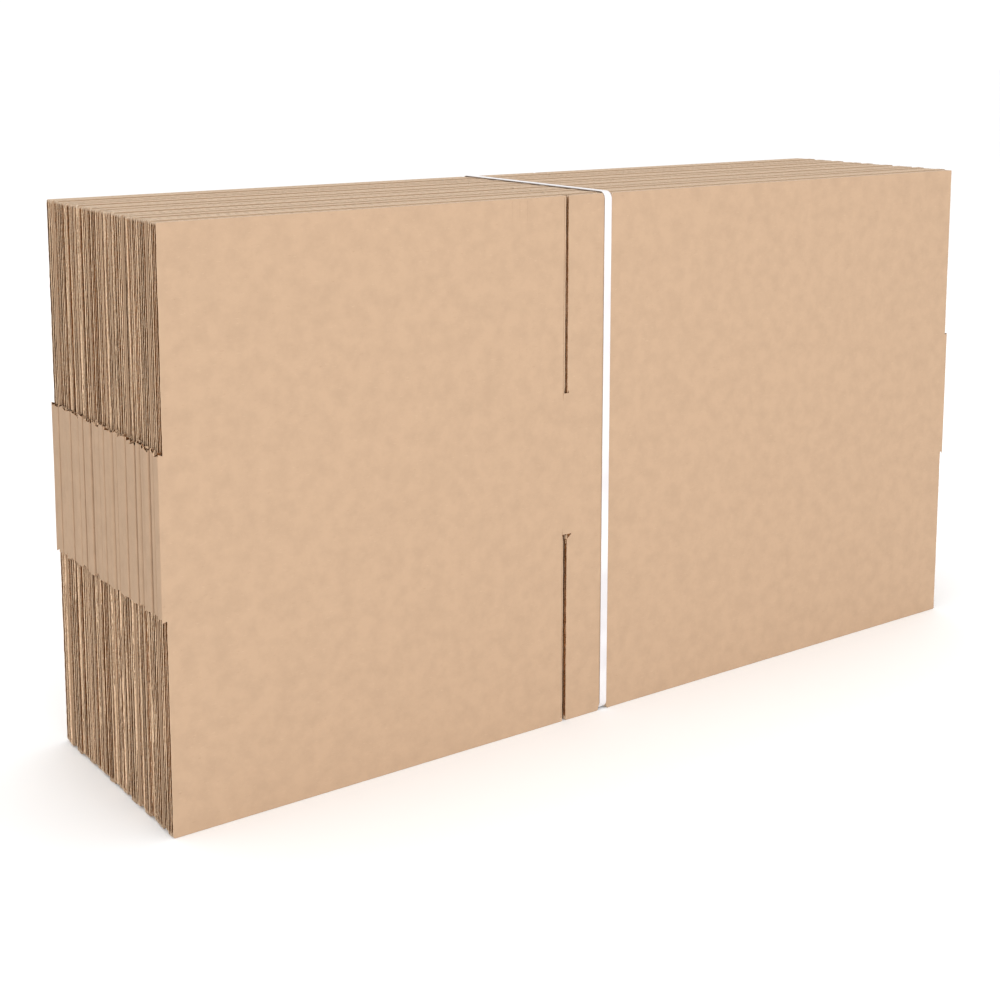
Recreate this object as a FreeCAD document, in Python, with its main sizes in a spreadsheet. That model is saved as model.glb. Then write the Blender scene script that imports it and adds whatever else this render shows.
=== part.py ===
# Strapped bundle of flattened slotted cartons, in millimetres, +Z up.
# The cartons stand on their flap edges, one behind the other, with the front one towards -Y.
# X runs along the bundle, and the origin is the middle of the base.
import FreeCAD, Part
import math
import os
import Sketcher

doc = FreeCAD.newDocument("carton_bundle")

# Driving dimensions
driving_sizes = [
    ("narrow_panel", 300.0, "end fold to the slot of the front layer"),
    ("wide_panel", 400.0, "slot of the front layer to the other end fold"),
    ("wall_height", 100.0, "between the upper and the lower score line"),
    ("flap_length", 136.0, "score line to the free edge of a flap"),
    ("board_thickness", 3.1, "single-wall board with small flutes"),
    ("layer_gap", 0.3, "between the two layers of one flat carton"),
    ("box_gap", 0.4, "between one carton and the next"),
    ("box_count", 25, "cartons in the bundle"),
    ("fold_radius", 1.8, "outer radius of a wall's fold, where the flat carton turns back"),
    ("slot_width", 4.0, "slot between two flaps"),
    ("end_setback", 2.6, "how far a flap's side edge stands in from the end fold"),
    ("score_width", 3.0, "pressed line that a flap folds on"),
    ("score_depth", 0.35, "depth of that line"),
    ("seam_width", 1.6, "open joint where the glued tab goes under the back panel"),
    ("seam_depth", 1.8, "depth of that joint"),
    ("side_play", 0.4, "how far a carton may stand out of line sideways"),
    ("rise_play", 1.8, "how far a carton may stand above the lowest one"),
    ("stagger_turn", 137.5, "degrees of the uneven stacking rhythm from one carton to the next"),
    ("strap_width", 6.0, "plastic band round the bundle"),
    ("strap_thickness", 0.6, "thickness of that band"),
    ("strap_clearance", 0.1, "all round between the band and the board"),
    ("strap_tuck", 0.4, "how far the band lies inside the board edges, above and below"),
    ("strap_corner", 5.0, "inner radius of the band at the bundle's edges"),
    ("strap_from_left", 335.0, "left end of the bundle to the middle of the band"),
    ("weld_length", 25.0, "overlap where the band's two ends are welded, at the back"),
]

sheet = doc.addObject("Spreadsheet::Sheet", "sizes")
for row, (alias, number, meaning) in enumerate(driving_sizes, start=1):
    sheet.set("A%d" % row, alias)
    sheet.set("B%d" % row, str(number))
    sheet.setAlias("B%d" % row, alias)
    sheet.set("C%d" % row, meaning)
doc.recompute()

# Worked-out sizes, as expressions of the driving ones
bundle_length = "(sizes.narrow_panel + sizes.wide_panel)"
carton_thickness = "(2 * sizes.board_thickness + sizes.layer_gap)"
carton_height = "(sizes.wall_height + 2 * sizes.flap_length)"
carton_pitch = "(%s + sizes.box_gap)" % carton_thickness
bundle_depth = "(sizes.box_count * %s - sizes.box_gap)" % carton_pitch
bundle_height = "(%s + sizes.rise_play)" % carton_height
half_slot = "sizes.slot_width / 2"
half_wall = "sizes.wall_height / 2"

z_axis = FreeCAD.Vector(0, 0, 1)
quarter_turn = math.pi / 2


def value(expression):
    """The number that an expression of the sheet gives now."""
    return float(sheet.evalExpression(expression))


def origin_plane(body, role):
    """One of the body's own three origin planes."""
    return next(plane for plane in body.Origin.OriginFeatures if plane.Role == role)


def new_sketch(body, name, role, height="0"):
    """A sketch on an origin plane of the body, moved along the plane's normal."""
    sketch = body.newObject("Sketcher::SketchObject", name)
    sketch.AttachmentSupport = [(origin_plane(body, role), "")]
    sketch.MapMode = "FlatFace"
    sketch.setExpression("AttachmentOffset.Base.z", height)
    return sketch


def bind(sketch, constraint, expression):
    """Adds a dimension to the sketch and ties it to an expression."""
    index = sketch.addConstraint(constraint)
    sketch.setExpression("Constraints[%d]" % index, expression)


def place_corner(sketch, line, x, y):
    """Ties the start of a line to a point, whose coordinates are expressions or "0"."""
    origin, along_x, along_y, start = -1, -1, -2, 1
    if x == "0":
        sketch.addConstraint(Sketcher.Constraint("PointOnObject", line, start, along_y))
    else:
        bind(sketch, Sketcher.Constraint("DistanceX", origin, 1, line, start, value(x)), x)
    if y == "0":
        sketch.addConstraint(Sketcher.Constraint("PointOnObject", line, start, along_x))
    else:
        bind(sketch, Sketcher.Constraint("DistanceY", origin, 1, line, start, value(y)), y)


def closed_lines(sketch, corners):
    """A closed loop of straight lines through the corners, and the index of its first line."""
    points = [FreeCAD.Vector(value(x), value(y), 0) for x, y in corners]
    first = sketch.GeometryCount
    for start, end in zip(points, points[1:] + points[:1]):
        sketch.addGeometry(Part.LineSegment(start, end), False)
    last = sketch.GeometryCount - 1
    for line in range(first, last):
        sketch.addConstraint(Sketcher.Constraint("Coincident", line, 2, line + 1, 1))
    sketch.addConstraint(Sketcher.Constraint("Coincident", last, 2, first, 1))
    return first


def rectangle(sketch, left, bottom, right, top):
    """A rectangle whose four sides lie at the given expressions."""
    first = closed_lines(sketch, [(left, bottom), (right, bottom), (right, top), (left, top)])
    for line, direction in enumerate(["Horizontal", "Vertical", "Horizontal", "Vertical"]):
        sketch.addConstraint(Sketcher.Constraint(direction, first + line))
    place_corner(sketch, first, left, bottom)
    width = "%s - %s" % (right, left)
    height = "%s - %s" % (top, bottom)
    bind(sketch, Sketcher.Constraint("DistanceX", first, 1, first, 2, value(width)), width)
    bind(sketch, Sketcher.Constraint("DistanceY", first + 1, 1, first + 1, 2, value(height)), height)


def triangle(sketch, corners):
    """A triangle with each corner at its own pair of expressions."""
    first = closed_lines(sketch, corners)
    for line, (x, y) in enumerate(corners):
        place_corner(sketch, first + line, x, y)


def rounded_rectangle(sketch, left, bottom, right, top, radius):
    """A rectangle with round corners whose four sides lie at the given expressions."""
    x_low = value(left)
    x_high = value(right)
    y_low = value(bottom)
    y_high = value(top)
    r = value(radius)
    sides = [
        ((x_low + r, y_low), (x_high - r, y_low), (x_high - r, y_low + r), -1),
        ((x_high, y_low + r), (x_high, y_high - r), (x_high - r, y_high - r), 0),
        ((x_high - r, y_high), (x_low + r, y_high), (x_low + r, y_high - r), 1),
        ((x_low, y_high - r), (x_low, y_low + r), (x_low + r, y_low + r), 2),
    ]
    first = sketch.GeometryCount
    for start, end, corner, turn in sides:
        sketch.addGeometry(Part.LineSegment(FreeCAD.Vector(*start, 0), FreeCAD.Vector(*end, 0)), False)
        circle = Part.Circle(FreeCAD.Vector(*corner, 0), z_axis, r)
        arc = Part.ArcOfCircle(circle, turn * quarter_turn, (turn + 1) * quarter_turn)
        sketch.addGeometry(arc, False)
    for curve in range(first, first + 7):
        sketch.addConstraint(Sketcher.Constraint("Tangent", curve, 2, curve + 1, 1))
    sketch.addConstraint(Sketcher.Constraint("Tangent", first + 7, 2, first, 1))
    for line, direction in enumerate(["Horizontal", "Vertical", "Horizontal", "Vertical"]):
        sketch.addConstraint(Sketcher.Constraint(direction, first + 2 * line))
    for arc in (first + 3, first + 5, first + 7):
        sketch.addConstraint(Sketcher.Constraint("Equal", first + 1, arc))
    bind(sketch, Sketcher.Constraint("Radius", first + 1, r), radius)
    run = "(%s) - (%s) - 2 * (%s)" % (right, left, radius)
    bind(sketch, Sketcher.Constraint("DistanceX", first, 1, first, 2, value(run)), run)
    rise = "(%s) - (%s) - 2 * (%s)" % (top, bottom, radius)
    bind(sketch, Sketcher.Constraint("DistanceY", first + 2, 1, first + 2, 2, value(rise)), rise)
    place_corner(sketch, first, "(%s) + (%s)" % (left, radius), bottom)


def pad(body, sketch, name, length, both_ways=False):
    """Material added to the body from a sketch."""
    feature = body.newObject("PartDesign::Pad", name)
    feature.Profile = sketch
    feature.setExpression("Length", length)
    feature.Midplane = both_ways
    return feature


def pocket(body, sketch, name, depth, reverse=False):
    """Material taken from the body through a sketch."""
    feature = body.newObject("PartDesign::Pocket", name)
    feature.Profile = sketch
    feature.setExpression("Length", depth)
    feature.Reversed = reverse
    return feature


# One flat carton. Its own frame has the left end fold at X = 0, the front layer's outer face at
# Y = 0 and the middle of its height at Z = 0. The upper half is drawn and mirrored below.
def flat_carton(number):
    body = doc.addObject("PartDesign::Body", "blank_%02d" % number)
    inner_face = "sizes.board_thickness"
    back_inner_face = "(sizes.board_thickness + sizes.layer_gap)"
    left_end = "sizes.end_setback"
    right_end = "(%s - sizes.end_setback)" % bundle_length

    # Four walls as one sleeve, pressed flat and folded at both ends
    walls = new_sketch(body, "walls_plan_%02d" % number, "XY_Plane")
    rounded_rectangle(walls, "0", "0", bundle_length, carton_thickness, "sizes.fold_radius")
    inner_right = "(%s - sizes.board_thickness)" % bundle_length
    rectangle(walls, "sizes.board_thickness", inner_face, inner_right, back_inner_face)
    pad(body, walls, "walls_%02d" % number, "sizes.wall_height", both_ways=True)

    # Two flaps of the front layer and two of the back one, cut apart by slots
    flaps = new_sketch(body, "flaps_plan_%02d" % number, "XY_Plane", half_wall)
    for bottom, top, slot_middle in [
        ("0", inner_face, "sizes.narrow_panel"),
        (back_inner_face, carton_thickness, "sizes.wide_panel"),
    ]:
        slot_left = "(%s - %s)" % (slot_middle, half_slot)
        slot_right = "(%s + %s)" % (slot_middle, half_slot)
        rectangle(flaps, left_end, bottom, slot_left, top)
        rectangle(flaps, slot_right, bottom, right_end, top)
    flaps_pad = pad(body, flaps, "flaps_%02d" % number, "sizes.flap_length")

    # Pressed lines that the flaps fold on, across both outer faces
    scores = new_sketch(body, "scores_section_%02d" % number, "YZ_Plane", left_end)
    score_low = "(%s - sizes.score_width / 2)" % half_wall
    score_high = "(%s + sizes.score_width / 2)" % half_wall
    score_inner = "(%s - sizes.score_depth)" % carton_thickness
    triangle(scores, [("0", score_low), ("sizes.score_depth", half_wall), ("0", score_high)])
    triangle(scores, [(carton_thickness, score_low), (carton_thickness, score_high), (score_inner, half_wall)])
    scores_run = "%s - %s" % (right_end, left_end)
    scores_cut = pocket(body, scores, "scores_%02d" % number, scores_run, reverse=True)

    # Joint on the back layer where the glued tab goes under the next panel
    seam = new_sketch(body, "seam_plan_%02d" % number, "XZ_Plane", "-%s" % carton_thickness)
    seam_left = "(sizes.wide_panel - sizes.seam_width / 2)"
    seam_right = "(sizes.wide_panel + sizes.seam_width / 2)"
    rectangle(seam, seam_left, "0", seam_right, half_wall)
    seam_cut = pocket(body, seam, "seam_%02d" % number, "sizes.seam_depth", reverse=True)

    mirrored = body.newObject("PartDesign::Mirrored", "lower_half_%02d" % number)
    mirrored.Originals = [flaps_pad, scores_cut, seam_cut]
    mirrored.MirrorPlane = (origin_plane(body, "XY_Plane"), [""])
    body.Tip = mirrored

    # The first carton stands lowest and in line, and the others by an uneven rhythm
    rhythm = "(%d * sizes.stagger_turn * 1 deg)" % (number - 1)
    body.setExpression("Placement.Base.x", "sizes.side_play * sin%s - %s / 2" % (rhythm, bundle_length))
    body.setExpression("Placement.Base.y", "%d * %s - %s / 2" % (number - 1, carton_pitch, bundle_depth))
    rise = "sizes.rise_play * (1 - cos%s) / 2" % rhythm
    body.setExpression("Placement.Base.z", "%s / 2 + %s" % (carton_height, rise))
    return body


# The band and its channel share the sketch plane through the bundle's middle, Y across and Z up
half_inside = "(%s / 2 + sizes.strap_clearance)" % bundle_depth
half_outside = "(%s + sizes.strap_thickness)" % half_inside
inside_bottom = "(sizes.strap_tuck + sizes.strap_thickness)"
inside_top = "(%s - %s)" % (bundle_height, inside_bottom)
strap_middle = "sizes.strap_from_left - %s / 2" % bundle_length


def strap_channel():
    """What the tight band presses out of the board edges: all that lies outside the band's inner face."""
    body = doc.addObject("PartDesign::Body", "strap_channel")
    section = new_sketch(body, "channel_section", "YZ_Plane")
    half_rim = "(%s + %s)" % (half_inside, carton_pitch)
    rim_top = "(%s + %s)" % (bundle_height, carton_pitch)
    rectangle(section, "-%s" % half_rim, "-%s" % carton_pitch, half_rim, rim_top)
    channel_half = "(%s - sizes.strap_clearance)" % half_inside
    channel_low = "(%s + sizes.strap_clearance)" % inside_bottom
    channel_high = "(%s - sizes.strap_clearance)" % inside_top
    rounded_rectangle(
        section, "-%s" % channel_half, channel_low, channel_half, channel_high, "sizes.strap_corner")
    pad(body, section, "channel", "sizes.strap_width + 2 * sizes.strap_clearance", both_ways=True)
    body.setExpression("Placement.Base.x", strap_middle)
    return body


def strap():
    """A flat band round the bundle, with its two ends welded over each other at the back."""
    body = doc.addObject("PartDesign::Body", "strap")
    section = new_sketch(body, "strap_section", "YZ_Plane")
    outside_top = "(%s + sizes.strap_thickness)" % inside_top
    outer_corner = "(sizes.strap_corner + sizes.strap_thickness)"
    rounded_rectangle(
        section, "-%s" % half_outside, "sizes.strap_tuck", half_outside, outside_top, outer_corner)
    rounded_rectangle(
        section, "-%s" % half_inside, inside_bottom, half_inside, inside_top, "sizes.strap_corner")
    pad(body, section, "band", "sizes.strap_width", both_ways=True)
    weld = new_sketch(body, "weld_section", "YZ_Plane")
    weld_low = "(%s / 2 - sizes.weld_length / 2)" % bundle_height
    weld_high = "(%s / 2 + sizes.weld_length / 2)" % bundle_height
    rectangle(weld, half_outside, weld_low, "(%s + sizes.strap_thickness)" % half_outside, weld_high)
    pad(body, weld, "weld", "sizes.strap_width", both_ways=True)
    body.setExpression("Placement.Base.x", strap_middle)
    return body


channel_body = strap_channel()
subparts = []
for carton_number in range(1, int(value("sizes.box_count")) + 1):
    carton = doc.addObject("Part::Cut", "box_%02d" % carton_number)
    carton.Base = flat_carton(carton_number)
    carton.Tool = channel_body
    carton.Label = "box_%02d" % carton_number
    subparts.append(carton)
subparts.append(strap())
doc.recompute()

# Every object is sound before anything is written
for item in doc.Objects:
    if "Invalid" in item.State or "Error" in item.State:
        raise RuntimeError("%s failed: %s" % (item.Label, item.State))
for subpart in subparts:
    if subpart.Shape.isNull() or not subpart.Shape.isValid() or len(subpart.Shape.Solids) != 1:
        raise RuntimeError("%s is not one valid solid" % subpart.Label)

os.makedirs("parts", exist_ok=True)
for subpart in subparts:
    subpart.Shape.exportStep("parts/%s.step" % subpart.Label)
print("%d pieces, %.1f x %.1f x %.1f mm" % (
    len(subparts), value(bundle_length), value(bundle_depth), value(bundle_height)))
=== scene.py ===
import math
import random

import bmesh
import bpy
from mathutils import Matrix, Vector, noise


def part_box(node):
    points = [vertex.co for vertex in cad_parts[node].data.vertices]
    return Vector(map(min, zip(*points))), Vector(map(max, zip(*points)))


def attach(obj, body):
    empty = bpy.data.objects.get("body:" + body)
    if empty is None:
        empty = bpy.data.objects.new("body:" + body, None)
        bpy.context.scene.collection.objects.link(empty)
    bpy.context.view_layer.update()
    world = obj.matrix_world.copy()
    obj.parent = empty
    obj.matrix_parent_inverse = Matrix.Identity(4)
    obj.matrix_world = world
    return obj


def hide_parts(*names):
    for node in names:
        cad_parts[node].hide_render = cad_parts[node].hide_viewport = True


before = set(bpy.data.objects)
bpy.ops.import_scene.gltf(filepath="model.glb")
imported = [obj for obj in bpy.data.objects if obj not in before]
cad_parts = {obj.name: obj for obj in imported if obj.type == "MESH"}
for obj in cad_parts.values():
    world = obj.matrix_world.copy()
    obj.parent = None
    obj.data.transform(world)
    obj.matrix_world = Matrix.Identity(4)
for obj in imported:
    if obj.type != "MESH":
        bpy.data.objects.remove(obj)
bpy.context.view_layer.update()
mm = 0.001
print("frame loaded:", len(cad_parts), "parts")


# helpers used by every piece

crispAngle = 60  # degrees; a paper edge stays crisp and a bend stays smooth


def linear(hexColour):
    # sRGB hex to the linear values that the shaders take
    parts = [int(hexColour[i:i + 2], 16) / 255 for i in (1, 3, 5)]
    return [c / 12.92 if c <= 0.04045 else ((c + 0.055) / 1.055) ** 2.4 for c in parts] + [1.0]


def addNode(mat, kind, values=None, links=None, stops=None, **settings):
    # one node with its settings, its socket values and what feeds it
    node = mat.node_tree.nodes.new(kind)
    for name, setting in settings.items():
        setattr(node, name, setting)
    for socket, value in (values or {}).items():
        node.inputs[socket].default_value = value
    for socket, (source, output) in (links or {}).items():
        mat.node_tree.links.new(source.outputs[output], node.inputs[socket])
    for i, (place, colour) in enumerate(stops or []):
        ramp = node.color_ramp.elements
        stop = ramp[i] if i < 2 else ramp.new(place)
        stop.position = place
        stop.color = linear(colour)
    return node


def startMaterial(name):
    # a new material with an empty node tree
    mat = bpy.data.materials.new(name)
    mat.use_nodes = True
    mat.node_tree.nodes.clear()
    return mat


def finishMesh(bm, name, materials):
    # the finished mesh as an object, with its materials in slot order
    bmesh.ops.recalc_face_normals(bm, faces=bm.faces)
    mesh = bpy.data.meshes.new(name)
    bm.to_mesh(mesh)
    bm.free()
    mesh.set_sharp_from_angle(angle=math.radians(crispAngle))
    piece = bpy.data.objects.new(name, mesh)
    bpy.context.scene.collection.objects.link(piece)
    for mat in materials:
        mesh.materials.append(mat)
    return piece


def spread(start, stop, step):
    # evenly spaced places from start to stop, about one step apart
    count = max(1, round(abs(stop - start) / step))
    return [start + (stop - start) * i / count for i in range(count + 1)]


def addSheet(bm, rows, thickness, faceSlots, edgeSlot, smooth=False):
    # a sheet of paper: each row is its centre line at one height, as (x, y, z) in mm;
    # all rows have the same number of points, and the sheet is thickened in x and y;
    # a point may carry its own thickness as a fourth number;
    # faceSlots are the material slots to the right and to the left of the line
    sides = []
    for row in rows:
        front, back = [], []
        for i, (x, y, z, *own) in enumerate(row):
            before = row[max(i - 1, 0)]
            after = row[min(i + 1, len(row) - 1)]
            dx, dy = after[0] - before[0], after[1] - before[1]
            size = math.hypot(dx, dy) or 1.0
            reach = (own[0] if own else thickness) / 2
            nx, ny = dy / size * reach, -dx / size * reach
            front.append(bm.verts.new(((x + nx) * mm, (y + ny) * mm, z * mm)))
            back.append(bm.verts.new(((x - nx) * mm, (y - ny) * mm, z * mm)))
        sides.append((front, back))

    def quad(a, b, c, d, slot, soft):
        face = bm.faces.new((a, b, c, d))
        face.material_index = slot
        face.smooth = soft

    for (front, back), (frontUp, backUp) in zip(sides, sides[1:]):
        for i in range(len(front) - 1):
            quad(front[i], front[i + 1], frontUp[i + 1], frontUp[i], faceSlots[0], smooth)
            quad(back[i + 1], back[i], backUp[i], backUp[i + 1], faceSlots[1], smooth)
        quad(back[0], front[0], frontUp[0], backUp[0], edgeSlot, False)
        quad(front[-1], back[-1], backUp[-1], frontUp[-1], edgeSlot, False)
    bottom, top = sides[0], sides[-1]
    for i in range(len(bottom[0]) - 1):
        quad(bottom[1][i], bottom[1][i + 1], bottom[0][i + 1], bottom[0][i], edgeSlot, False)
        quad(top[0][i], top[0][i + 1], top[1][i + 1], top[1][i], edgeSlot, False)


# the camera, at the photograph's angle

camera = {
    "place": (-719.5, -941.1, 471.3),  # mm
    "turn": (81.778, -0.081, -35.643),  # degrees
    "lens": 58.14,  # mm
    "sensor": 36,  # mm
    "shiftUp": -0.22,  # the photograph's frame sits low on the lens axis
    "nearest": 0.02,  # m
}

lens = bpy.data.cameras.new("camera")
lens.lens = camera["lens"]
lens.sensor_width = camera["sensor"]
lens.shift_y = camera["shiftUp"]
lens.clip_start = camera["nearest"]
eye = bpy.data.objects.new("camera", lens)
eye.location = Vector(camera["place"]) * mm
eye.rotation_euler = [math.radians(a) for a in camera["turn"]]
bpy.context.scene.collection.objects.link(eye)
bpy.context.scene.camera = eye
print("camera placed")


# the carton's papers

kraft = {  # the liners' outer faces
    "light": "#B5987D",
    "dark": "#AE9278",
    "fleckDark": "#937355",
    "fleckLight": "#CAAE92",
    "cloudSize": 11,  # mm, the pulp's cloudy formation
    "cloudStops": (0.32, 0.62),
    "fleckSize": (5.0, 2.0, 0.9),  # mm; real fibres, 3 by 0.03 mm, are too fine, so drawn wider
    "darkRange": (0.36, 0.27),  # parts of the fibre noise that turn dark and light
    "lightRange": (0.62, 0.72),
    "fleckShare": 0.35,
    "waveLength": 39.29,  # mm; the fluting's own 6.25 mm waves are too faint, so drawn coarser
    "waveShare": 0.35,
    "bump": (0.35, 0.12),  # strength, and depth in mm
    "gloss": 0.3,
    "roughness": 0.88,
    "ior": 1.5,
}

barePaper = {  # what the fluting and the cut edges have in common
    "grainStops": (0.35, 0.6),
    "toneSize": (400, 4, 120),  # mm; each sheet has its own tone, drawn out along the sheet
    "toneRange": (0.35, 0.65),
    "paleTop": (370.2, 371.6),  # mm above the floor: where it starts to turn pale, and is pale
    "paleLow": (3.4, 2.0),  # and the same at the lower ends
    "bump": (0.5, 0.2),  # strength, and depth in mm
    "gloss": 0.2,
    "roughness": 0.95,
    "ior": 1.5,
}

# the fluting, whose material also covers the liners' inner faces: recycled paper is darker than
# kraft, and these light and dark colours are darker still, as painted shade for the hollows,
# slots and cavities where it shows
medium = {
    "light": "#8E5C34",
    "dark": "#50301A",
    "pale": "#C6AA8E",  # the colour right by the cut ends above and below
    "grain": 1.2,  # mm
    "sheetTone": 0.5,  # how much darker the darkest sheets are
}

cutEdge = {
    "light": "#F6D6B4",
    "dark": "#CFA680",
    "pale": "#D0BAA2",
    "grain": 1.1,  # mm; a knife-cut edge's fibre tufts are finer, drawn coarse enough to show
    "sheetTone": 0.2,
}


def perMetre(millimetres):
    # a noise scale for features of this size, in metres
    return 1000 / millimetres


def kraftLiner():
    # unbleached kraft linerboard, machine finished: matt warm tan with soft clouds,
    # fibres lying along the machine direction, and soft waves over the flutes
    mat = startMaterial("kraft_linerboard")
    where = addNode(mat, "ShaderNodeTexCoord")
    clouds = addNode(mat, "ShaderNodeTexNoise",
                     {"Scale": perMetre(kraft["cloudSize"]), "Detail": 5.0, "Roughness": 0.6},
                     {"Vector": (where, "Object")})
    stretched = addNode(mat, "ShaderNodeMapping",
                        {"Scale": [perMetre(size) for size in kraft["fleckSize"]]},
                        {"Vector": (where, "Object")})
    fibres = addNode(mat, "ShaderNodeTexNoise",
                     {"Scale": 1.0, "Detail": 3.0, "Roughness": 0.65},
                     {"Vector": (stretched, "Vector")})
    base = addNode(mat, "ShaderNodeValToRGB", links={"Fac": (clouds, "Fac")},
                   stops=list(zip(kraft["cloudStops"], (kraft["dark"], kraft["light"]))))
    colour, output = base, "Color"
    for part, tint in (("darkRange", "fleckDark"), ("lightRange", "fleckLight")):
        flecks = addNode(mat, "ShaderNodeMapRange",
                         {"From Min": kraft[part][0], "From Max": kraft[part][1],
                          "To Min": 0.0, "To Max": kraft["fleckShare"]},
                         {"Value": (fibres, "Fac")})
        colour = addNode(mat, "ShaderNodeMix", {7: linear(kraft[tint])},
                         {0: (flecks, "Result"), 6: (colour, output)}, data_type="RGBA")
        output = 2
    # at scale 1 the bands repeat every 2 pi / 20 of a metre
    waves = addNode(mat, "ShaderNodeTexWave",
                    {"Scale": perMetre(kraft["waveLength"]) * 2 * math.pi / 20,
                     "Distortion": 0.4, "Detail": 1.0},
                    {"Vector": (where, "Object")}, bands_direction="X")
    height = addNode(mat, "ShaderNodeMath", {1: kraft["waveShare"]},
                     {0: (waves, "Fac"), 2: (fibres, "Fac")}, operation="MULTIPLY_ADD")
    strength, depth = kraft["bump"]
    bump = addNode(mat, "ShaderNodeBump", {"Strength": strength, "Distance": depth * mm},
                   {"Height": (height, "Value")})
    shader = addNode(mat, "ShaderNodeBsdfPrincipled",
                     {"Roughness": kraft["roughness"], "IOR": kraft["ior"],
                      "Specular IOR Level": kraft["gloss"]},
                     {"Base Color": (colour, 2), "Normal": (bump, "Normal")})
    addNode(mat, "ShaderNodeOutputMaterial", links={"Surface": (shader, "BSDF")})
    return mat


def grainyPaper(name, look):
    # bare paper with no finish, torn or cut: dull brown with a coarse light and dark grain
    mat = startMaterial(name)
    where = addNode(mat, "ShaderNodeTexCoord")
    grain = addNode(mat, "ShaderNodeTexNoise",
                    {"Scale": perMetre(look["grain"]), "Detail": 2.0, "Roughness": 0.7},
                    {"Vector": (where, "Object")})
    colour = addNode(mat, "ShaderNodeValToRGB", links={"Fac": (grain, "Fac")},
                     stops=list(zip(barePaper["grainStops"], (look["dark"], look["light"]))))
    drawnOut = addNode(mat, "ShaderNodeMapping",
                       {"Scale": [perMetre(size) for size in barePaper["toneSize"]]},
                       {"Vector": (where, "Object")})
    sheets = addNode(mat, "ShaderNodeTexNoise", {"Scale": 1.0, "Detail": 1.0},
                     {"Vector": (drawnOut, "Vector")})
    least, most = barePaper["toneRange"]
    tone = addNode(mat, "ShaderNodeMapRange",
                   {"From Min": least, "From Max": most, "To Min": 1 - look["sheetTone"],
                    "To Max": 1.0},
                   {"Value": (sheets, "Fac")})
    toned = addNode(mat, "ShaderNodeVectorMath",
                    links={0: (colour, "Color"), "Scale": (tone, "Result")}, operation="SCALE")
    # towards the cut ends above and below it turns to the pale colour
    place = addNode(mat, "ShaderNodeSeparateXYZ", links={"Vector": (where, "Object")})
    top, low = [addNode(mat, "ShaderNodeMapRange",
                        {"From Min": starts * mm, "From Max": full * mm},
                        {"Value": (place, "Z")})
                for starts, full in (barePaper["paleTop"], barePaper["paleLow"])]
    either = addNode(mat, "ShaderNodeMath", links={0: (top, "Result"), 1: (low, "Result")},
                     operation="MAXIMUM")
    paled = addNode(mat, "ShaderNodeMix", {7: linear(look["pale"])},
                    {0: (either, "Value"), 6: (toned, "Vector")}, data_type="RGBA")
    strength, depth = barePaper["bump"]
    bump = addNode(mat, "ShaderNodeBump", {"Strength": strength, "Distance": depth * mm},
                   {"Height": (grain, "Fac")})
    shader = addNode(mat, "ShaderNodeBsdfPrincipled",
                     {"Roughness": barePaper["roughness"], "IOR": barePaper["ior"],
                      "Specular IOR Level": barePaper["gloss"]},
                     {"Base Color": (paled, 2), "Normal": (bump, "Normal")})
    addNode(mat, "ShaderNodeOutputMaterial", links={"Surface": (shader, "BSDF")})
    return mat


linerMat = kraftLiner()
# the fluting's material holds painted shade: its colours are darker than the paper, for the
# hollows and slots where it shows
mediumMat = grainyPaper("recycled_fluting_with_painted_shade", medium)
edgeMat = grainyPaper("knife_cut_kraft_edge", cutEdge)
liner, flute, edge = 0, 1, 2  # material slots of every carton

print("paper materials made")


# the strap's course, which the cartons give way to

strapLow, strapHigh = [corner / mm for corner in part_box("strap")]
strapThickness = 0.6  # mm
strap = {  # mm, from the CAD strap's box
    "middle": (strapLow.x + strapHigh.x) / 2,
    "halfWidth": (strapHigh.x - strapLow.x) / 2,
    "corner": 5.0,  # inner radius at the bundle's edges
    "frontInside": strapLow.y + strapThickness,
    "lowInside": strapLow.z + strapThickness,
    "highInside": strapHigh.z - strapThickness,
    "clear": 0.1,
    "columns": (-4.7, -4.1, -3.5, -3.1, 0, 3.1, 3.5, 4.1, 4.7),  # where it bends the boards,
    "columnGap": 1,  # but no closer to a sheet's end
    "shoulder": 1.5,  # how far beside the strap the boards are pulled in
    "pressedHeight": 9.0,  # how far down a pressed board gives way
    "hollow": 0.7,  # the taut strap spans the cartons inside the bundle without touching them
}


def channelReach(y):
    # how far the strap's rounded corner comes in from its flat runs, at this depth
    depth = abs(strap["frontInside"]) - strap["clear"] - abs(y)
    short = strap["corner"] - depth
    if short <= 0:
        return 0.0
    return strap["corner"] - math.sqrt(max(strap["corner"] ** 2 - short ** 2, 0.0))


def pressed(box, x, y, z):
    # the height of a board's point once the strap has pressed the board's edges in
    away = abs(x - strap["middle"]) - strap["halfWidth"] - strap["clear"]
    if away > strap["shoulder"]:
        return z
    ease = max(away, 0.0) / strap["shoulder"]
    give = 1 - ease * ease * (3 - 2 * ease)
    reach = channelReach(y)
    if 1 < box["number"] < box["count"]:
        reach += strap["hollow"]
    dropTop = max(box["high"] - (strap["highInside"] - strap["clear"] - reach), 0.0)
    liftLow = max(strap["lowInside"] + strap["clear"] + reach - box["low"], 0.0)
    nearTop = max(1 - (box["high"] - z) / strap["pressedHeight"], 0.0)
    nearLow = max(1 - (z - box["low"]) / strap["pressedHeight"], 0.0)
    return z - dropTop * give * nearTop + liftLow * give * nearLow


# the flattened cartons: corrugated board, B flute, with the flutes upright

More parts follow.
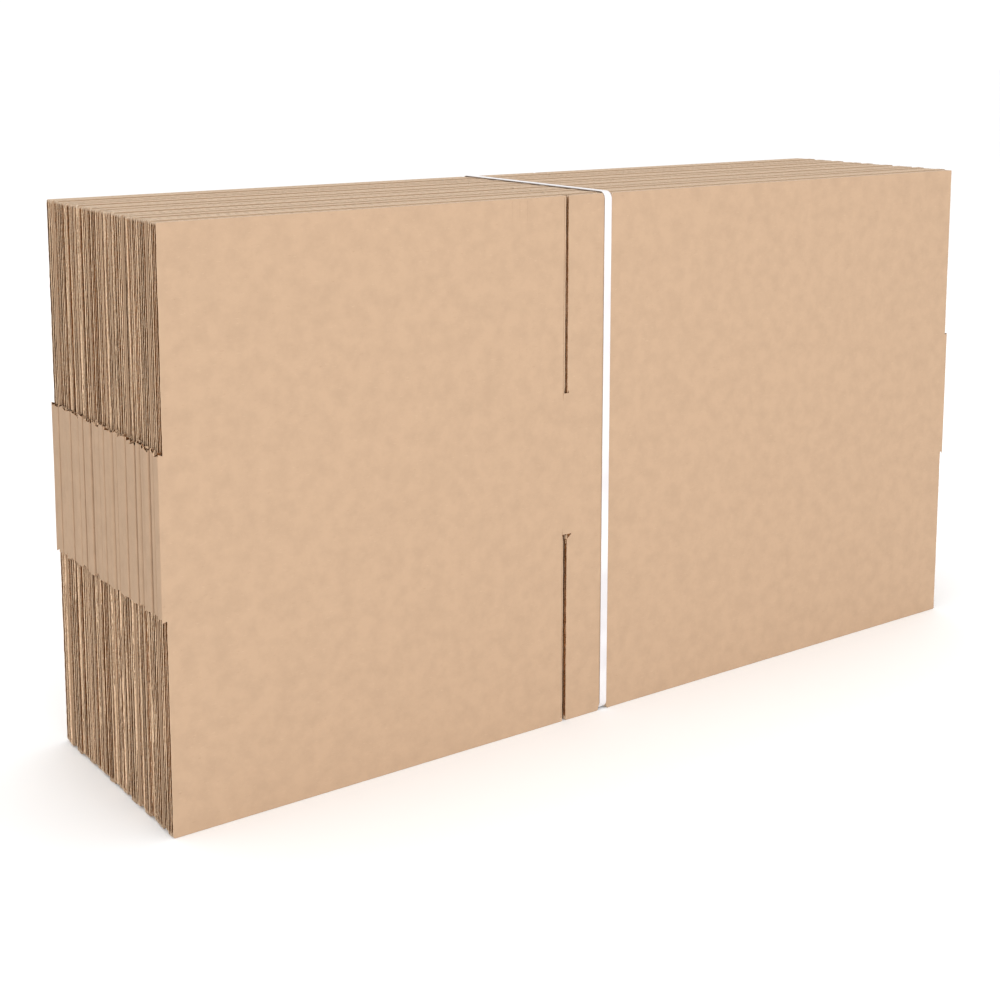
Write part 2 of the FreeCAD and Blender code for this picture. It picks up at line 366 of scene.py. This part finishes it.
carton = {  # mm, unless it says otherwise
    "narrowPanel": 300,
    "wallHeight": 100,
    "flapLength": 136,
    "topPlay": 0.35,  # share of the play below that is left at the top
    "board": 3.1,
    "liner": 0.42,
    "medium": 0.3,
    "flutePitch": 6.25,
    "stepsPerFlute": 6,
    "slotWidths": {True: 2.3, False: 3.0},  # where it shows, upper and lower
    "closedSlot": (0.6, 1.8),  # inside the bundle the flaps are pressed together
    "cavity": (-1.8, 9.0),  # where the layer behind has sprung apart, beside the slot's middle
    "endSetback": (2.7, 1.5),  # at the first and the last carton
    "setbackPlay": 0.45,
    "burr": 0.5,  # how much a liner is spread inwards by the knife at a cut end
    "burrDepth": 1.0,
    "crushedMedium": 1.0,  # the fluting's thickness, drawn crushed by the knife
    "coreInset": 0.1,  # the fluting ends this far inside the cut ends
}

rawEnd = {  # mm, unless it says otherwise: the torn ends of the flaps
    "reach": 7.0,  # how much of a flap's end is torn rather than straight
    "inner": 2.2,  # from the torn edge to the sheet's next point
    "outer": 4.0,  # and to where the outer face's own points start
    "firstPoints": (0, 0.6, 1.4, 2.6),  # at the free corner, where they are closer together
    "step": 2.2,  # between the points further on
    "cornerWear": (0.3, 1.4),  # how round the free corner is worn
    "openBoards": (1, 3, 9, 14, 22, 25),  # cartons whose ends stand wide open
    "openBias": 0.4,  # on a scale from 0, crushed shut, to 1, wide open
    "otherBias": (-0.6, -0.4, 0.0, 0.3),
    "drift": (0.55, 38),  # how much the opening wanders along an end, and over what length
    "jitter": 0.06,
    "shut": (0.85, 1.0),  # how much of what isn't open is crushed
    "hollow": (0.1, 6.3, 1.3),  # how deep the fluting is torn away: least, growth, power
    "tufts": (0.14, 0.25),  # share of the points where it isn't, and the depth left there
    "sway": (0.22, 17),  # how far a raw edge wanders, and over what length
    "ragged": 0.2,  # and from point to point
    "backwards": 0.3,  # the most that the sway may bring an edge forward
    "frayedLiner": (0.48, 0.4),  # thickness at the edge, and more of it where crushed shut
    "frayedMedium": (0.5, 1.1),
    "pinch": {"outer": 0.16, "inner": 0.7},  # how far the liners close at a crushed edge
    "leastPinch": 0.08,
    "pinchFurtherIn": 0.35,  # share of it at the next point
    "mediumPlay": 0.3,  # how unevenly the fluting is torn
    "flatWave": (0.45, 0.95),  # share of the fluting's wave left at the edge
    "wavePlay": (0.9, 1.05),
}


def flapHeights(length):
    # places of the points along a flap's raw end, from its free corner, closer together there
    steps = list(rawEnd["firstPoints"])
    rest = length - steps[-1]
    count = round(rest / rawEnd["step"])
    return steps + [steps[-1] + rest * (i + 1) / count for i in range(count)]


def paperSides(layer, side, outer=True):
    # material slots of a liner drawn towards side (1 right, -1 left):
    # kraft on its outside, bare on its inside
    outside = liner if outer else flute
    return (outside, flute) if layer["outward"] == -side else (flute, outside)


def tearing(dice, box, layer, side, upward, heights):
    # for each height of a raw end: how far it stands back, how far the board is crushed shut,
    # and how far the fluting is torn away behind it
    wear = dice.uniform(*rawEnd["cornerWear"])
    opened = box["number"] in rawEnd["openBoards"]
    bias = rawEnd["openBias"] if opened else dice.choice(rawEnd["otherBias"])
    # every end of every layer has its own place in the noise
    place = (box["number"] * 1.7 + layer["outward"] * 0.6,
             side * 9.0 + (5.0 if upward else 0.0))
    drift, driftLength = rawEnd["drift"]
    sway, swayLength = rawEnd["sway"]
    least, growth, power = rawEnd["hollow"]
    tuftShare, tuftDepth = rawEnd["tufts"]
    marks = []
    for dz in heights:
        rounding = 0.0
        if dz < wear:
            rounding = wear - math.sqrt(max(wear ** 2 - (wear - dz) ** 2, 0.0))
        wander = noise.noise(Vector((dz / driftLength, *place))) * drift
        back = noise.noise(Vector((dz / swayLength, place[1], place[0]))) * sway
        jitter = dice.uniform(-rawEnd["jitter"], rawEnd["jitter"])
        opening = min(max(0.5 + bias + wander + jitter, 0.0), 1.0)
        hollow = least + growth * opening ** power
        if dice.random() < tuftShare:
            hollow *= tuftDepth
        marks.append({
            "back": rounding + max(back, -rawEnd["backwards"]) + rawEnd["backwards"],
            "closed": (1 - opening) * dice.uniform(*rawEnd["shut"]),
            "hollow": hollow,
        })
    return marks


def cutBurr(dz):
    # how much thicker a liner is, this far from a cut end
    return carton["burr"] * max(1 - dz / carton["burrDepth"], 0.0)


def fluteWave(x, layer):
    # how far the fluting's centre line lies from the board's middle
    swing = (carton["board"] - 2 * carton["liner"] - carton["medium"]) / 2
    return swing * math.sin(2 * math.pi * x / carton["flutePitch"] + layer["phase"])


def flapEnd(dice, bm, box, layer, start, stop, low, high, upward):
    # the torn end of one flap of one layer: two liners with the fluting between them
    outward = layer["outward"]
    face = layer["face"]
    half = carton["liner"] / 2
    outer = face - outward * half
    inner = face - outward * (carton["board"] - half)
    middle = face - outward * carton["board"] / 2
    side = 1 if start < stop else -1
    torn = start + side * rawEnd["reach"]
    free = high if upward else low
    down = -1 if upward else 1
    heights = flapHeights(high - low)
    marks = tearing(dice, box, layer, side, upward, heights)

    def ordered(rows):
        return rows[::-1] if upward else rows

    ends = []
    frayed, shutLiner = rawEnd["frayedLiner"]
    for name, flat, inward in (("outer", outer, -outward), ("inner", inner, outward)):
        rows = []
        for dz, mark in zip(heights, marks):
            z = free + down * dz
            x = start + side * (mark["back"] + dice.uniform(0.0, rawEnd["ragged"]))
            burr = cutBurr(dz)
            depth = flat + inward * burr / 2
            pinch = inward * (rawEnd["leastPinch"] + rawEnd["pinch"][name] * mark["closed"])
            thick = carton["liner"] + burr
            edgeThick = max(frayed + shutLiner * mark["closed"], thick)
            rows.append([(x, depth + pinch, z, edgeThick),
                         (x + side * rawEnd["inner"], depth + pinch * rawEnd["pinchFurtherIn"],
                          z, thick),
                         (torn, depth, z, thick)])
        if name == "outer" and layer["shown"]:
            ends = [row[:2] for row in rows]
        else:
            addSheet(bm, ordered(rows), carton["liner"],
                     paperSides(layer, side, name == "outer"), edge)
    rows = []
    crushed = dice.uniform(*rawEnd["flatWave"])
    frayed, filling = rawEnd["frayedMedium"]
    play = rawEnd["mediumPlay"]
    for dz, mark in zip(heights, marks):
        z = free + down * dz
        x0 = start + side * (mark["back"] + mark["hollow"] + dice.uniform(0.0, play))
        x0 = min(x0, torn - play) if side == 1 else max(x0, torn + play)
        row = []
        for i in range(3):
            x = x0 + (torn - x0) * i / 2
            bend = fluteWave(x, layer)
            thick = carton["medium"]
            if i == 0:
                bend *= crushed * dice.uniform(*rawEnd["wavePlay"])
                # where the board is crushed shut, the fluting fills the space in it
                thick = frayed + filling * mark["closed"]
            row.append((x, middle + bend, z, max(thick, 2 * cutBurr(dz))))
        rows.append(row)
    addSheet(bm, ordered(rows), carton["medium"], (flute, flute), edge, smooth=True)
    return ends


def boardCore(bm, box, layer, start, stop, gap):
    # the rest of a layer, over the carton's whole height: fluting and liners up to the slot;
    # behind a slot that shows, the inside of the layer has sprung apart and leaves a gap
    outward = layer["outward"]
    face = layer["face"]
    half = carton["liner"] / 2
    low, high = box["low"], box["high"]
    inset = carton["coreInset"]
    middle = face - outward * carton["board"] / 2
    left, right = min(start, stop), max(start, stop)
    runs = [(left, right)]
    if gap and left < gap[0] < right:
        runs = [(left, gap[0]), (gap[1], right)]
    for first, last in runs:
        count = math.ceil((last - first) / carton["flutePitch"] * carton["stepsPerFlute"])
        bottom, top = [], []
        for x in spread(first, last, (last - first) / count):
            y = middle + fluteWave(x, layer)
            bottom.append((x, y, pressed(box, x, y, low + inset)))
            top.append((x, y, pressed(box, x, y, high - inset)))
        addSheet(bm, [bottom, top], carton["crushedMedium"], (flute, flute), edge, smooth=True)
        coreLiner(bm, box, layer, first, last, face - outward * (carton["board"] - half), 1)
    if not layer["shown"]:
        coreLiner(bm, box, layer, left, right, face - outward * half, -1)


def coreLiner(bm, box, layer, left, right, flat, inward):
    # one of a layer's liners over the whole height, spread inwards by the knife at both ends
    rows = []
    for z in (box["low"], box["low"] + carton["burrDepth"],
              box["high"] - carton["burrDepth"], box["high"]):
        burr = cutBurr(min(z - box["low"], box["high"] - z))
        y = flat + inward * layer["outward"] * burr / 2
        rows.append([(x, y, pressed(box, x, y, z), carton["liner"] + burr)
                     for x in strapColumns(left, right)])
    addSheet(bm, rows, carton["liner"], paperSides(layer, 1, inward == -1), edge)


def strapColumns(left, right):
    # the ends of a run, and between them the places where the strap bends it
    inside = [strap["middle"] + d for d in strap["columns"]]
    gap = strap["columnGap"]
    return [left] + [x for x in inside if left + gap < x < right - gap] + [right]


shownFace = {  # mm, the outer faces of the first and the last carton
    "flatEnd": 8.0,  # no dips this near a carton's end,
    "easeIn": 30,  # and the full ones this much further in
    "wave": (0.10, 60, 45),  # slight waves: depth, and length across and upwards
    "score": (0.015, 3.0),  # the score lines: depth and half width
    "crease": (0.06, 2.0),  # the crease between the panels
    "slotDip": (0.10, 1.5, 4.0),  # the board crushed beside a slot: depth, from, over
    "columnStep": 11,
    "columnGap": 1.0,  # to the columns at the strap and the slot
    "slotColumns": (-8, -5, -3.5, -1.5, 0, 1.5, 3.5, 5, 8),
    "slotColumnGap": 0.4,  # to the face's ends
    "rowStep": 7,
    "wander": 0.2,  # how far a slot's edge wanders
    "nicks": {  # how far the liner is torn at a slot's inner end, by side and half
        (1, True): 0.5, (-1, True): 1.4, (1, False): 0.8, (-1, False): 4.2,
    },
    "nickHeight": 3.6,  # how far up or down the nick runs
    "nickReach": 9,  # how far from the edge the sheet gives way to it
}


def faceDip(box, layer, x, z):
    # how far the outer face lies under its flat plane
    fromEnd = min(x - box["left"], box["right"] - x) - shownFace["flatEnd"]
    ease = min(max(fromEnd / shownFace["easeIn"], 0.0), 1.0)
    wave, across, upwards = shownFace["wave"]
    wave *= noise.noise(Vector((x / across, layer["face"], z / upwards))) * 0.5 + 0.5
    score, scoreHalf = shownFace["score"]
    score *= sum(max(0, 1 - abs(z - s) / scoreHalf) for s in (box["wallLow"], box["wallHigh"]))
    fromSlot = abs(x - layer["slot"])
    if box["wallLow"] < z < box["wallHigh"]:
        crease, creaseHalf = shownFace["crease"]
        crease *= max(0, 1 - fromSlot / creaseHalf)
    else:
        crease, near, over = shownFace["slotDip"]
        crease *= min(max(0, 1 - (fromSlot - near) / over), 1)
    return (wave + score + crease) * ease


def boardFace(dice, bm, box, layer, start, stop, heights, ends=None):
    # the outer liner where its whole face shows, with the torn end's points if it has one
    side = 1 if start < stop else -1
    first = start + side * (rawEnd["outer"] if ends else 0.0)
    least, most = min(first, stop), max(first, stop)
    special = strapColumns(least, most)[1:-1]
    gap = shownFace["slotColumnGap"]
    special += [layer["slot"] + d for d in shownFace["slotColumns"]
                if least + gap < layer["slot"] + d < most - gap]
    columns = [x for x in spread(first, stop, shownFace["columnStep"]) if x == stop
               or all(abs(x - n) > shownFace["columnGap"] for n in special)] + special
    columns.sort(reverse=side == -1)
    nick = shownFace["nicks"][(side, heights[0] > heights[-1])] if ends else 0.0
    rows = []
    for n, z in enumerate(heights):
        row = list(ends[n]) if ends else []
        # the slot's edge wanders a little and is torn at the slot's inner end
        nearEnd = max(0, 1 - abs(z - heights[-1]) / shownFace["nickHeight"])
        torn = dice.uniform(0, shownFace["wander"]) + nick * nearEnd
        for x in columns:
            toStop = abs(stop - x) / shownFace["nickReach"]
            if ends and toStop < 1:
                x -= side * torn * (1 - toStop)
            burr = cutBurr(min(z - box["low"], box["high"] - z))
            depth = (carton["liner"] + burr) / 2 + faceDip(box, layer, x, z)
            y = layer["face"] - layer["outward"] * depth
            row.append((x, y, pressed(box, x, y, z), carton["liner"] + burr))
        rows.append(row)
    if heights[0] > heights[-1]:
        rows.reverse()
    addSheet(bm, rows, carton["liner"], paperSides(layer, side), edge, smooth=True)


slotEdge = {  # mm, the board's own edge inside a slot that shows
    "near": 0.45,  # under the outer face
    "far": 0.3,  # above the inner face
    "back": (0.25, 0.6),  # behind the liner's edge
    "belly": 0.3,  # how far its middle is bent in
    "short": 0.3,  # of the slot's ends
    "step": 3,
}


def slotWall(dice, bm, layer, stop, side, low, high):
    # the board's cut edge along a slot, crushed shut by the slotting knife
    near = layer["face"] - layer["outward"] * slotEdge["near"]
    far = layer["face"] - layer["outward"] * (carton["board"] - slotEdge["far"])
    rows = []
    for z in spread(low + slotEdge["short"], high - slotEdge["short"], slotEdge["step"]):
        x = stop - side * dice.uniform(*slotEdge["back"])
        rows.append([(x, near, z), (x - side * slotEdge["belly"], (near + far) / 2, z),
                     (x, far, z)])
    addSheet(bm, rows, carton["medium"], (edge, edge), edge, smooth=True)


folded = {  # mm, the folds at both ends of the walls, and the glue seam
    "kinds": (  # share of the folds, radius, and how far they swell towards their neighbours
        (0.55, (0.26, 0.40), (0.18, 0.19)),
        (0.75, (0.60, 1.10), (0.10, 0.16)),
        (1.00, (1.70, 2.40), (0.0, 0.03)),
    ),
    "steps": 4,  # of each quarter bend
    "reach": 8.0,  # how much of a wall belongs to its fold
    "flatFrom": 2.6,  # past here the sheet is flat again
    "edgeRows": (3, 14),  # rows of points near the walls' edges, and from where they are even
    "rowStep": 12,
    "sway": (0.25, 30),  # how far a fold wanders in, and over what length
    "lift": (-1.3, 1.4),  # how far its ends stand past the scores or short of them
    # the inner liner inside a fold, as how far in and how far under the front face
    "core": ((7, 1.2), (3.2, 1.0), (1.3, 1.9), (2.1, 3.25), (1.3, 4.6), (3.2, 5.5), (7, 5.3)),
    "coreShort": 0.6,
    "coreLift": (-0.8, 0.8),
    "seamWidth": 1.6,
    "seamDepth": 1.8,
    "tabReach": 1.9,  # to each side of the seam
}


def wallSheet(dice, bm, box, front, rear):
    # the liner round the carton at the height of its walls: from the glue seam round one fold,
    # across the front, round the other fold and back to the seam
    half = carton["liner"] / 2
    low, high = box["wallLow"], box["wallHigh"]
    frontY = front["face"] + half
    rearY = rear["face"] - half
    seam = box["seam"]
    left, right = box["left"] + half, box["right"] - half

    def foldPoints(x, side, radius):
        # a folded end seen from above, from the front face to the rear face
        points = []
        steps = folded["steps"]
        for i in range(steps + 1):
            a = math.pi / 2 * i / steps
            points.append((x + side * (radius - radius * math.sin(a)),
                           frontY + radius - radius * math.cos(a)))
        for i in range(steps + 1):
            a = math.pi / 2 * i / steps
            points.append((x + side * (radius - radius * math.cos(a)),
                           rearY - radius + radius * math.sin(a)))
        return points

    runIn, turnIn = folded["reach"], folded["flatFrom"]
    near, even = folded["edgeRows"]
    sway, swayLength = folded["sway"]
    levels = [low, low + near, *spread(low + even, high - even, folded["rowStep"]),
              high - near, high]
    for x, side in ((left, 1), (right, -1)):
        chance = dice.random()
        radii, swells = next(kind[1:] for kind in folded["kinds"] if chance <= kind[0])
        fold = foldPoints(x, side, dice.uniform(*radii))
        line = ([(x + side * runIn, frontY), (x + side * turnIn, frontY)] + fold
                + [(x + side * turnIn, rearY), (x + side * runIn, rearY)])
        spreadOut = dice.uniform(*swells)
        rows = []
        for n, z in enumerate(levels):
            place = Vector((box["number"] * 3.7, side * 5.0, z / swayLength))
            inwards = sway * abs(noise.noise(place))
            row = []
            for i, (px, py) in enumerate(line):
                lift = 0.0
                if n in (0, len(levels) - 1) and 1 < i < len(line) - 2:
                    lift = dice.uniform(*folded["lift"]) * (1 if n == 0 else -1)
                atRear = py > (frontY + rearY) / 2
                swell = spreadOut * (1 if atRear else -1)
                if i in (0, len(line) - 1) or (rear if atRear else front)["shown"]:
                    swell = 0.0  # a face that shows stays flat
                row.append((px + side * inwards, py + swell, z + lift))
            rows.append(row)
        addSheet(bm, rows, carton["liner"], paperSides(front, -side), edge, smooth=True)
        # the inner liner and crushed fluting inside the fold
        core = [(x + side * across, front["face"] + depth) for across, depth in folded["core"]]
        rows = [[(px, py, z + dice.uniform(*folded["coreLift"])) for px, py in core]
                for z in (low + folded["coreShort"], high - folded["coreShort"])]
        addSheet(bm, rows, carton["medium"], (flute, flute), edge, smooth=True)
    # the straight runs between the folds
    reach = [left + runIn, right - runIn]
    heights = spread(low, high, shownFace["rowStep"])
    if front["shown"]:
        boardFace(dice, bm, box, front, reach[0], reach[1], heights)
    else:
        addSheet(bm, [[(x, frontY, z) for x in reach] for z in (low, high)],
                 carton["liner"], paperSides(front, 1), edge)
    for x0, x1 in ((reach[0], seam - folded["seamWidth"] / 2),
                   (seam + folded["seamWidth"] / 2, reach[1])):
        if rear["shown"]:
            boardFace(dice, bm, box, rear, x0, x1, heights)
        else:
            addSheet(bm, [[(x, rearY, z) for x in (x0, x1)] for z in (low, high)],
                     carton["liner"], paperSides(rear, 1), edge)
    tab, tabReach = rearY - folded["seamDepth"], folded["tabReach"]
    addSheet(bm, [[(seam - tabReach, tab, z), (seam + tabReach, tab, z)] for z in (low, high)],
             carton["liner"], paperSides(rear, 1), edge)


scraps = {  # mm, crumbs of torn board at the corners of the folds
    "counts": (0, 1, 2, 2, 3, 4),
    "inwards": (1.8, 3.2),  # from the fold
    "depth": (0.8, 5.7),  # under the front face
    "height": (-1.2, 1.2),  # from the score
    "size": (0.7, 2.4),
    "thickness": 0.3,
    "curl": (0.2, 0.6),  # share of its size
    "across": (0.7, 1.1),
    "along": (0.7, 1.2),
    "slotCurls": ((1.3, -2.4, 2.8), (2.4, -4.2, 2.4), (0.6, -5.6, 2.6)),  # x, z, size
    "slotCurlDepth": 1.6,
}


def addScrap(dice, bm, x, y, z, size):
    # a small curled leaf of paper
    turn = dice.uniform(0, math.pi)
    curl = dice.uniform(*scraps["curl"]) * size
    rows = []
    for v in (-0.5, 0, 0.5):
        row = []
        for u in (-0.5, 0, 0.5):
            bend = curl * (0.25 - u * u)
            across = u * size * dice.uniform(*scraps["across"])
            row.append((x + across * math.cos(turn) - bend * math.sin(turn),
                        y + across * math.sin(turn) + bend * math.cos(turn),
                        z + v * size * dice.uniform(*scraps["along"])))
        rows.append(row)
    slot = dice.choice((liner, flute, edge))
    addSheet(bm, rows, scraps["thickness"], (slot, slot), edge, smooth=True)


def makeCarton(number, count):
    # one flattened carton: two layers of board, torn at both ends and joined round the folds
    dice = random.Random(number)
    wholeTurn = 6.28  # radians, the range of the fluting's phase
    node = "box_%02d" % number
    lowCorner, highCorner = [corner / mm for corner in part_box(node)]
    box = {
        "number": number,
        "count": count,
        "left": lowCorner.x,
        "right": highCorner.x,
        "low": lowCorner.z,
        # pressed down to almost one level at the top
        "high": (lowCorner.z * carton["topPlay"] + 2 * carton["flapLength"]
                 + carton["wallHeight"]),
        "wallLow": lowCorner.z + carton["flapLength"],
        "wallHigh": lowCorner.z + carton["flapLength"] + carton["wallHeight"],
    }
    frontSlot = box["left"] + carton["narrowPanel"]
    box["seam"] = box["right"] - carton["narrowPanel"]
    front = {"face": lowCorner.y, "outward": -1, "slot": frontSlot,
             "phase": dice.uniform(0, wholeTurn), "shown": number == 1}
    rear = {"face": highCorner.y, "outward": 1, "slot": box["seam"],
            "phase": dice.uniform(0, wholeTurn), "shown": number == count}
    bm = bmesh.new()
    for layer in (front, rear):
        first, last = carton["endSetback"]
        setback = first + (last - first) * (number / count) ** 3
        leftEnd = box["left"] + setback + dice.uniform(-1, 1) * carton["setbackPlay"]
        rightEnd = box["right"] - setback - dice.uniform(-1, 1) * carton["setbackPlay"]
        closed = dice.uniform(*carton["closedSlot"])
        other = rear if layer is front else front
        gap = [other["slot"] + d for d in carton["cavity"]] if other["shown"] else None
        for start, side in ((leftEnd, 1), (rightEnd, -1)):
            width = carton["slotWidths"][False] if layer["shown"] else closed
            boardCore(bm, box, layer, start + side * rawEnd["reach"],
                      layer["slot"] - side * width / 2, gap)
            for low, high, upward in ((box["low"], box["wallLow"], False),
                                      (box["wallHigh"], box["high"], True)):
                width = carton["slotWidths"][upward] if layer["shown"] else closed
                stop = layer["slot"] - side * width / 2
                ends = flapEnd(dice, bm, box, layer, start, stop, low, high, upward)
                if layer["shown"]:
                    down, free = (-1, high) if upward else (1, low)
                    heights = [free + down * dz for dz in flapHeights(high - low)]
                    boardFace(dice, bm, box, layer, start, stop, heights, ends)
                    slotWall(dice, bm, layer, stop, side, low, high)
    wallSheet(dice, bm, box, front, rear)
    for side, x in ((1, box["left"]), (-1, box["right"])):
        for z in (box["wallLow"], box["wallHigh"]):
            for i in range(dice.choice(scraps["counts"])):
                addScrap(dice, bm, x + side * dice.uniform(*scraps["inwards"]),
                         front["face"] + dice.uniform(*scraps["depth"]),
                         z + dice.uniform(*scraps["height"]), dice.uniform(*scraps["size"]))
    for layer in (front, rear):
        if layer["shown"]:  # curls of liner where the knife stopped
            depth = layer["outward"] * scraps["slotCurlDepth"]
            for dx, dz, size in scraps["slotCurls"]:
                addScrap(dice, bm, layer["slot"] + dx, layer["face"] - depth,
                         box["wallLow"] + dz, size)
    piece = finishMesh(bm, "carton_%02d" % number, [linerMat, mediumMat, edgeMat])
    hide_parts(node)
    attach(piece, "root")
    return piece


boxNodes = sorted(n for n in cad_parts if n.startswith("box_"))
cartons = [makeCarton(i + 1, len(boxNodes)) for i in range(len(boxNodes))]
print("cartons made:", len(cartons), "with",
      sum(len(c.data.polygons) for c in cartons), "faces")


# the strap: extruded polypropylene band

band = {
    "colour": "#E0DEDF",
    "shade": "#D0CDCF",
    "toneSize": 30,  # mm
    "toneStops": (0.35, 0.65),
    "roughness": 0.28,
    "ior": 1.49,
    "emboss": 1.6,  # mm between the rolled-in dimples; real ones are 0.8 mm
    "bump": (0.3, 0.08),  # strength, and depth in mm
    "cornerSteps": 8,
    "stepLength": 10,  # mm, on the straight runs
    "rounding": (0.25, 0.4),  # mm, how far its edges are rounded, inside and outside
    "weldLength": 25,  # mm
    # along half the weld, and how far the tail stands proud there
    "weldPress": ((-1, 1), (-0.7, 0.9), (-0.6, 0.35), (-0.3, 0.3), (0, 0.32), (0.3, 0.3),
                  (0.6, 0.35), (0.7, 0.9), (1, 1)),
    "weldWidth": 0.96,  # share of the band's
    "weldThickness": 0.8,  # share of the room that the tail has
    "weldSunk": 0.1,  # mm
}


def strapPlastic():
    # extruded and embossed polypropylene: smooth, slightly milky white with a soft gloss
    mat = startMaterial("embossed_white_polypropylene")
    where = addNode(mat, "ShaderNodeTexCoord")
    tone = addNode(mat, "ShaderNodeTexNoise",
                   {"Scale": perMetre(band["toneSize"]), "Detail": 2.0},
                   {"Vector": (where, "Object")})
    colour = addNode(mat, "ShaderNodeValToRGB", links={"Fac": (tone, "Fac")},
                     stops=list(zip(band["toneStops"], (band["shade"], band["colour"]))))
    dimples = addNode(mat, "ShaderNodeTexVoronoi", {"Scale": perMetre(band["emboss"])},
                      {"Vector": (where, "Object")})
    strength, depth = band["bump"]
    bump = addNode(mat, "ShaderNodeBump", {"Strength": strength, "Distance": depth * mm},
                   {"Height": (dimples, "Distance")})
    shader = addNode(mat, "ShaderNodeBsdfPrincipled",
                     {"Roughness": band["roughness"], "IOR": band["ior"]},
                     {"Base Color": (colour, "Color"), "Normal": (bump, "Normal")})
    addNode(mat, "ShaderNodeOutputMaterial", links={"Surface": (shader, "BSDF")})
    return mat


def bandCourse():
    # the band's centre line round the bundle, seen from the side, as (y, z) in mm
    half = strapThickness / 2
    radius = strap["corner"] + half
    front = strap["frontInside"] - half + radius
    low = strap["lowInside"] - half + radius
    high = strap["highInside"] + half - radius
    steps = band["cornerSteps"]
    points = []
    for cy, cz, start in ((front, low, 180), (-front, low, 270),
                          (-front, high, 0), (front, high, 90)):
        for i in range(steps + 1):
            a = math.radians(start + 90 * i / steps)
            points.append((cy + radius * math.cos(a), cz + radius * math.sin(a)))
    return points


def makeStrap():
    # the band as one closed ring, with its weld
    bm = bmesh.new()
    course = bandCourse()
    line = []
    for i, (y, z) in enumerate(course):
        nextY, nextZ = course[(i + 1) % len(course)]
        parts = max(1, round(math.hypot(nextY - y, nextZ - z) / band["stepLength"]))
        line += [(y + (nextY - y) * j / parts, z + (nextZ - z) * j / parts)
                 for j in range(parts)]
    half = strap["halfWidth"]
    thick = strapThickness / 2
    inside, outside = band["rounding"]
    # cross-section: flat band with rounded edges, as (across, out of the bundle)
    profile = [(-half + inside, -thick), (half - inside, -thick), (half, -thick * 0.4),
               (half, thick * 0.4), (half - outside, thick * 0.9), (half * 0.5, thick),
               (-half * 0.5, thick), (-half + outside, thick * 0.9), (-half, thick * 0.4),
               (-half, -thick * 0.4)]
    rings = []
    for i, (y, z) in enumerate(line):
        beforeY, beforeZ = line[i - 1]
        afterY, afterZ = line[(i + 1) % len(line)]
        dy, dz = afterY - beforeY, afterZ - beforeZ
        size = math.hypot(dy, dz)
        ny, nz = dz / size, -dy / size
        rings.append([bm.verts.new(((strap["middle"] + u) * mm, (y + v * ny) * mm,
                                    (z + v * nz) * mm)) for u, v in profile])
    for a, b in zip(rings, rings[1:] + rings[:1]):
        for j in range(len(profile)):
            k = (j + 1) % len(profile)
            face = bm.faces.new((a[j], a[k], b[k], b[j]))
            face.smooth = True
    # the heat weld at the back: the tail lies over the band, pressed flat across its middle
    rear = -strap["frontInside"] + strapThickness
    proud = strapHigh.y - rear
    middleZ = (strapLow.z + strapHigh.z) / 2
    reach = half * band["weldWidth"]
    rows = []
    for t, press in band["weldPress"]:
        z = middleZ + t * band["weldLength"] / 2
        y = rear + proud * 0.5 * press - band["weldSunk"]
        rows.append([(strap["middle"] + reach, y, z), (strap["middle"] - reach, y, z)])
    addSheet(bm, rows, proud * band["weldThickness"], (0, 0), 0, smooth=True)
    piece = finishMesh(bm, "strap_band", [strapPlastic()])
    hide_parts("strap")
    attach(piece, "root")
    return piece


makeStrap()
print("strap made")


# floor and light

stage = {
    "floorColour": "#FBFBFB",
    "floorShade": "#F9F9F9",
    "floorRoughness": 0.9,
    "floorGloss": 0.2,
    "floorHalf": 30.0,  # m
    "floorGap": 0.2,  # mm under the object
    "aimHeight": 0.18,  # m, what the lamps point at
    "sky": 1.06,
    "lamps": {  # power in W, size in m, place in m
        "key": (21.5, 1.6, (-0.25, -2.6, 0.6)),
        "low fill": (5, 1.0, (-0.2, -1.6, 0.1)),
        "overhead": (20, 2.6, (-0.2, 0.1, 3.0)),
    },
}


def makeStage():
    # matt white board, like a photographer's sweep: even and without gloss
    mat = startMaterial("matt_white_board")
    where = addNode(mat, "ShaderNodeTexCoord")
    tone = addNode(mat, "ShaderNodeTexNoise", {"Scale": 2.0, "Detail": 1.0},
                   {"Vector": (where, "Object")})
    colour = addNode(mat, "ShaderNodeValToRGB", links={"Fac": (tone, "Fac")},
                     stops=[(0.3, stage["floorShade"]), (0.7, stage["floorColour"])])
    shader = addNode(mat, "ShaderNodeBsdfPrincipled",
                     {"Roughness": stage["floorRoughness"],
                      "Specular IOR Level": stage["floorGloss"]},
                     {"Base Color": (colour, "Color")})
    addNode(mat, "ShaderNodeOutputMaterial", links={"Surface": (shader, "BSDF")})
    bm = bmesh.new()
    half = stage["floorHalf"]
    corners = [bm.verts.new((x * half, y * half, -stage["floorGap"] * mm)) for x, y in
               ((-1, -1), (1, -1), (1, 1), (-1, 1))]
    bm.faces.new(corners)
    floor = finishMesh(bm, "floor", [mat])
    world = bpy.data.worlds.new("studio")
    world.use_nodes = True
    sky = world.node_tree.nodes["Background"].inputs
    sky["Color"].default_value = (1, 1, 1, 1)
    sky["Strength"].default_value = stage["sky"]
    bpy.context.scene.world = world
    for name, (power, size, place) in stage["lamps"].items():
        light = bpy.data.lights.new(name, "AREA")
        light.energy = power
        light.size = size
        lamp = bpy.data.objects.new(name, light)
        lamp.location = place
        aim = Vector((0, 0, stage["aimHeight"])) - lamp.location
        lamp.rotation_euler = aim.to_track_quat("-Z", "Y").to_euler()
        bpy.context.scene.collection.objects.link(lamp)
    bpy.context.scene.view_settings.view_transform = "Standard"


makeStage()
print("stage and light set")
